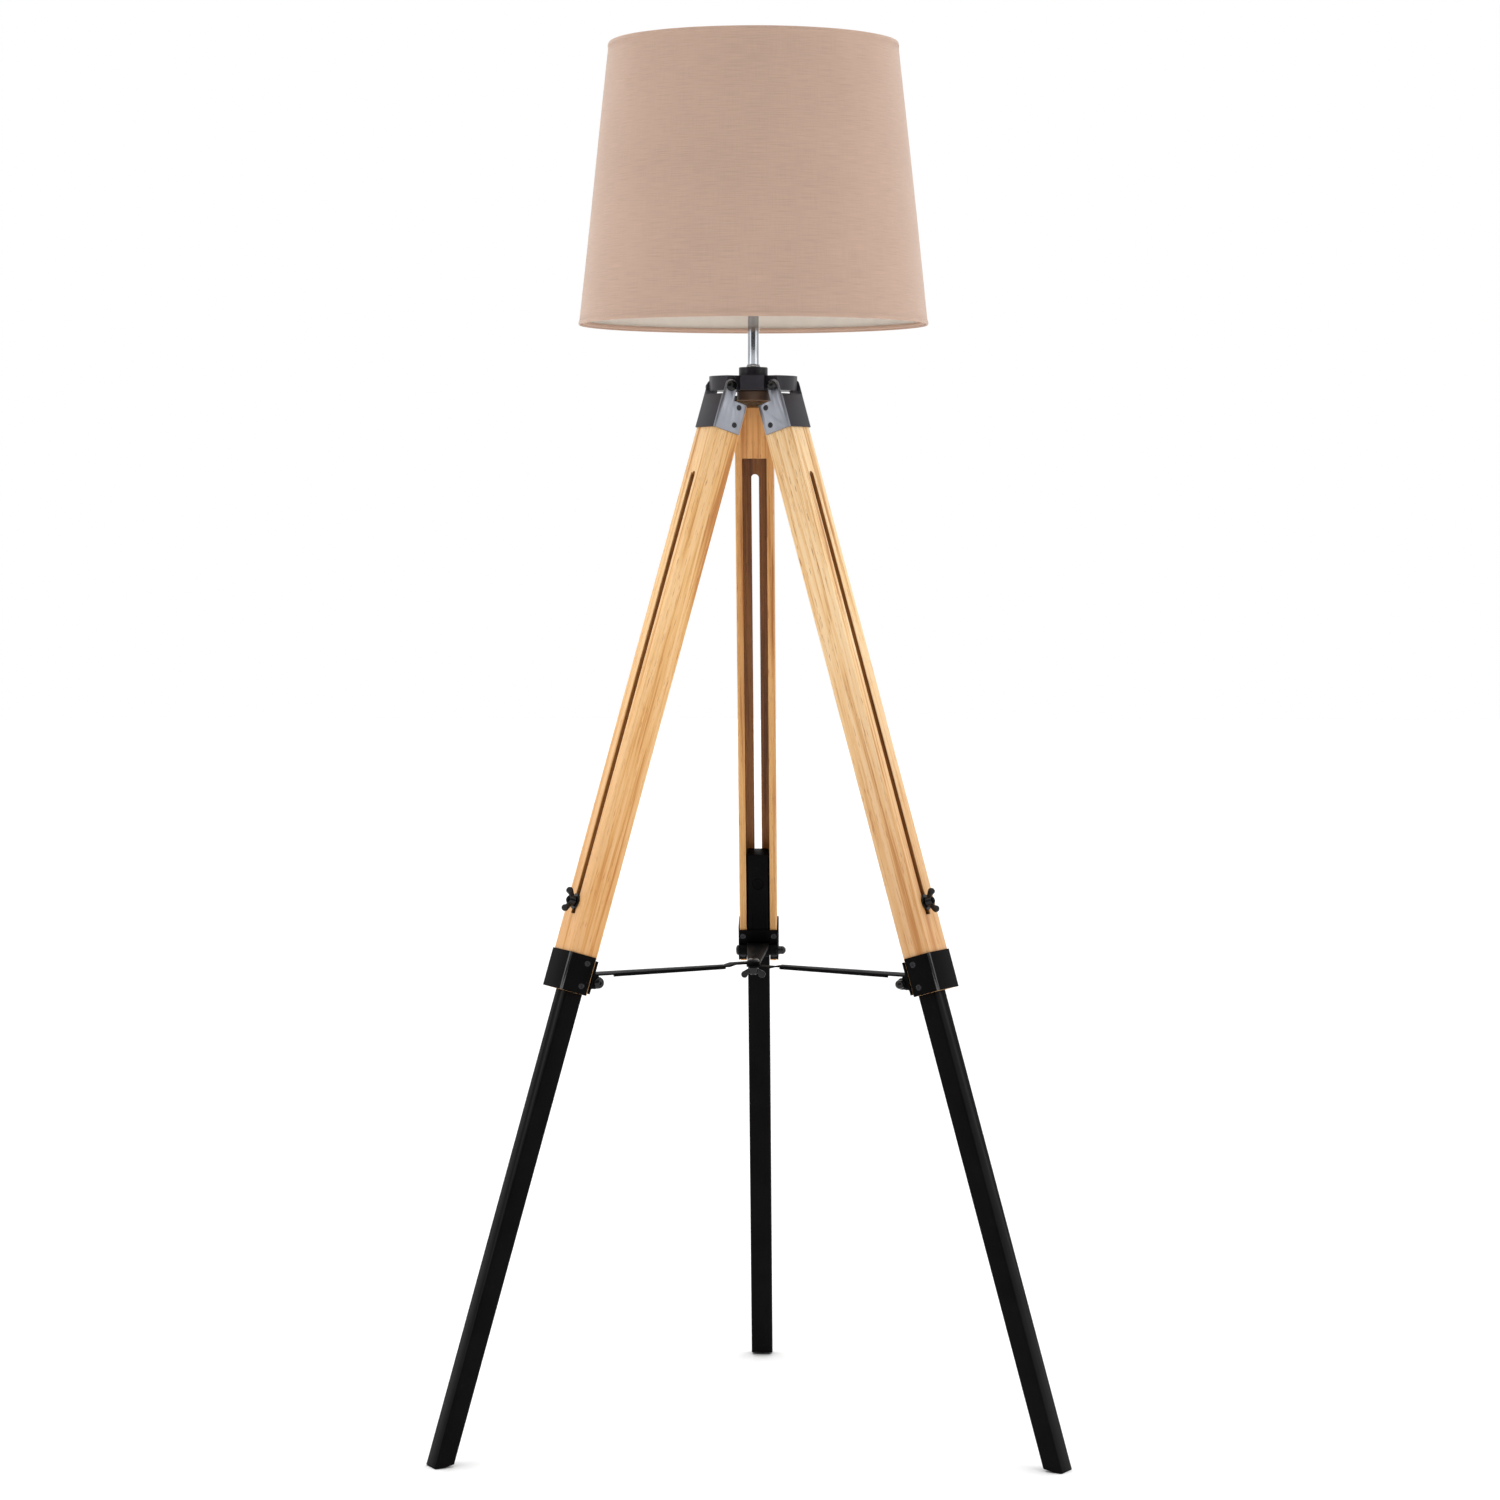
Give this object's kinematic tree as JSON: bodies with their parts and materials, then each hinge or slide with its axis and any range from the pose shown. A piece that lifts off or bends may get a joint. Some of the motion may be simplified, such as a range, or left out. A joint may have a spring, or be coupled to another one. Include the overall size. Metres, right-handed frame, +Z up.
{
  "type": "tripod floor lamp",
  "caption": "Tripod floor lamp: tapered fabric drum shade on a chrome stem over a black hub, with wooden folding legs, telescoping black feet, wing-nut clamps and flat spreader struts.",
  "frame": {"origin": "middle of the footprint, on the floor", "axes": "+Z up, +Y towards the back leg, +X to the right of a person who faces the lamp from its two front legs"},
  "size_m": [0.6454, 0.5594, 1.43],
  "materials": {
    "shade_fabric": "fine plain woven fabric, matt, warm pink-beige",
    "white_liner": "smooth white, slightly satin",
    "white_wire": "white enamelled wire",
    "chrome": "polished chrome plate",
    "hub_metal": "satin black powder coat",
    "bracket_steel": "satin gunmetal sheet",
    "black_metal": "semi-matt black powder coat",
    "steel": "plain zinc-plated steel",
    "honey_wood": "clear satin lacquer over honey-coloured wood with long streaks",
    "black_wood": "satin black paint on wood",
    "black_plastic": "black moulded plastic",
    "bulb_glass": "frosted glass on a metal screw cap"
  },
  "bodies": {
    "head": {"hub_disc": "hub_metal", "hub_boss": "hub_metal", "hub_nut": "hub_metal", "cord_gland": "black_plastic", "stem_tube": "chrome", "stem_collar": "chrome", "stem_rod": "steel", "lampholder_shell": "black_plastic", "lampholder_insert": "white_liner", "holder_ring_lower": "black_plastic", "holder_ring_upper": "black_plastic", "bulb": "bulb_glass", "shade_cover": "shade_fabric", "shade_liner": "white_liner", "shade_top_ring": "white_wire", "shade_spider": "white_wire"},
    "leg_back": {"leg_upper_back": "honey_wood", "top_bracket_back": "bracket_steel", "lower_sleeve_back": "black_metal", "hinge_plate_back": "black_metal", "hinge_bolt_back": "black_metal", "hinge_cap_nut_back": "black_metal", "strut_bolt_back": "black_metal", "strut_cap_nut_back": "black_metal", "strut_bush_back": "black_metal"},
    "lower_leg_back": {"leg_lower_back": "black_wood", "clamp_bolt_back": "black_metal", "clamp_washer_back": "steel"},
    "clamp_nut_back": {"wing_nut_back": "black_metal"},
    "spreader_back": {"strut_back": "black_metal"},
    "leg_left": {"leg_upper_left": "honey_wood", "top_bracket_left": "bracket_steel", "lower_sleeve_left": "black_metal", "hinge_plate_left": "black_metal", "hinge_bolt_left": "black_metal", "hinge_cap_nut_left": "black_metal", "strut_bolt_left": "black_metal", "strut_cap_nut_left": "black_metal", "strut_bush_left": "black_metal"},
    "lower_leg_left": {"leg_lower_left": "black_wood", "clamp_bolt_left": "black_metal", "clamp_washer_left": "steel"},
    "clamp_nut_left": {"wing_nut_left": "black_metal"},
    "spreader_left": {"strut_left": "black_metal", "centre_bolt": "black_metal"},
    "leg_right": {"leg_upper_right": "honey_wood", "top_bracket_right": "bracket_steel", "lower_sleeve_right": "black_metal", "hinge_plate_right": "black_metal", "hinge_bolt_right": "black_metal", "hinge_cap_nut_right": "black_metal", "strut_bolt_right": "black_metal", "strut_cap_nut_right": "black_metal", "strut_bush_right": "black_metal"},
    "lower_leg_right": {"leg_lower_right": "black_wood", "clamp_bolt_right": "black_metal", "clamp_washer_right": "steel"},
    "clamp_nut_right": {"wing_nut_right": "black_metal"},
    "spreader_right": {"strut_right": "black_metal"},
    "centre_nut": {"centre_wing_nut": "black_metal"}
  },
  "joints": [
    {"name": "leg_fold_back", "type": "hinge", "parent": "head", "child": "leg_back", "pos_m": [0, -0.05017, 1.0806], "axis": [-1, 0, 0], "range_deg": [0, 13]},
    {"name": "leg_fold_left", "type": "hinge", "parent": "head", "child": "leg_left", "pos_m": [-0.03187, -0.10537, 1.0806], "axis": [0.5, -0.866, 0], "range_deg": [0, 13]},
    {"name": "leg_fold_right", "type": "hinge", "parent": "head", "child": "leg_right", "pos_m": [0.03187, -0.10537, 1.0806], "axis": [0.5, 0.866, 0], "range_deg": [0, 13]},
    {"name": "leg_slide_back", "type": "slide", "parent": "leg_back", "child": "lower_leg_back", "axis": [0, -0.2954, 0.9554], "range_m": [0, 0.43]},
    {"name": "leg_slide_left", "type": "slide", "parent": "leg_left", "child": "lower_leg_left", "axis": [0.2558, 0.1477, 0.9554], "range_m": [0, 0.43]},
    {"name": "leg_slide_right", "type": "slide", "parent": "leg_right", "child": "lower_leg_right", "axis": [-0.2558, 0.1477, 0.9554], "range_m": [0, 0.43]},
    {"name": "strut_swing_back", "type": "hinge", "parent": "leg_back", "child": "spreader_back", "pos_m": [0, 0.10155, 0.47813], "axis": [-1, 0, 0], "range_deg": [-76.4, 0]},
    {"name": "strut_swing_left", "type": "hinge", "parent": "leg_left", "child": "spreader_left", "pos_m": [-0.16327, -0.18124, 0.47813], "axis": [0.5, -0.866, 0], "range_deg": [0, 59]},
    {"name": "strut_swing_right", "type": "hinge", "parent": "leg_right", "child": "spreader_right", "pos_m": [0.16327, -0.18124, 0.47813], "axis": [0.5, 0.866, 0], "range_deg": [-98.5, 0]},
    {"name": "clamp_nut_turn_back", "type": "hinge", "parent": "lower_leg_back", "child": "clamp_nut_back", "pos_m": [0, 0.12095, 0.56096], "axis": [0, 0.9554, 0.2954], "continuous": true},
    {"name": "clamp_nut_turn_left", "type": "hinge", "parent": "lower_leg_left", "child": "clamp_nut_left", "pos_m": [-0.18007, -0.19094, 0.56096], "axis": [-0.8274, -0.4777, 0.2954], "continuous": true},
    {"name": "clamp_nut_turn_right", "type": "hinge", "parent": "lower_leg_right", "child": "clamp_nut_right", "pos_m": [0.18007, -0.19094, 0.56096], "axis": [0.8274, -0.4777, 0.2954], "continuous": true},
    {"name": "centre_nut_turn", "type": "hinge", "parent": "spreader_right", "child": "centre_nut", "pos_m": [0, -0.08697, 0.478], "axis": [0, 0, 1], "continuous": true}
  ],
  "couplings": [
    {"joint": "leg_fold_left", "follows": "leg_fold_back", "ratio": 1},
    {"joint": "leg_fold_right", "follows": "leg_fold_back", "ratio": 1},
    {"joint": "strut_swing_back", "follows": "leg_fold_back", "ratio": -5.8},
    {"joint": "strut_swing_left", "follows": "leg_fold_back", "ratio": 4.46},
    {"joint": "strut_swing_right", "follows": "leg_fold_back", "ratio": -7.5}
  ]
}
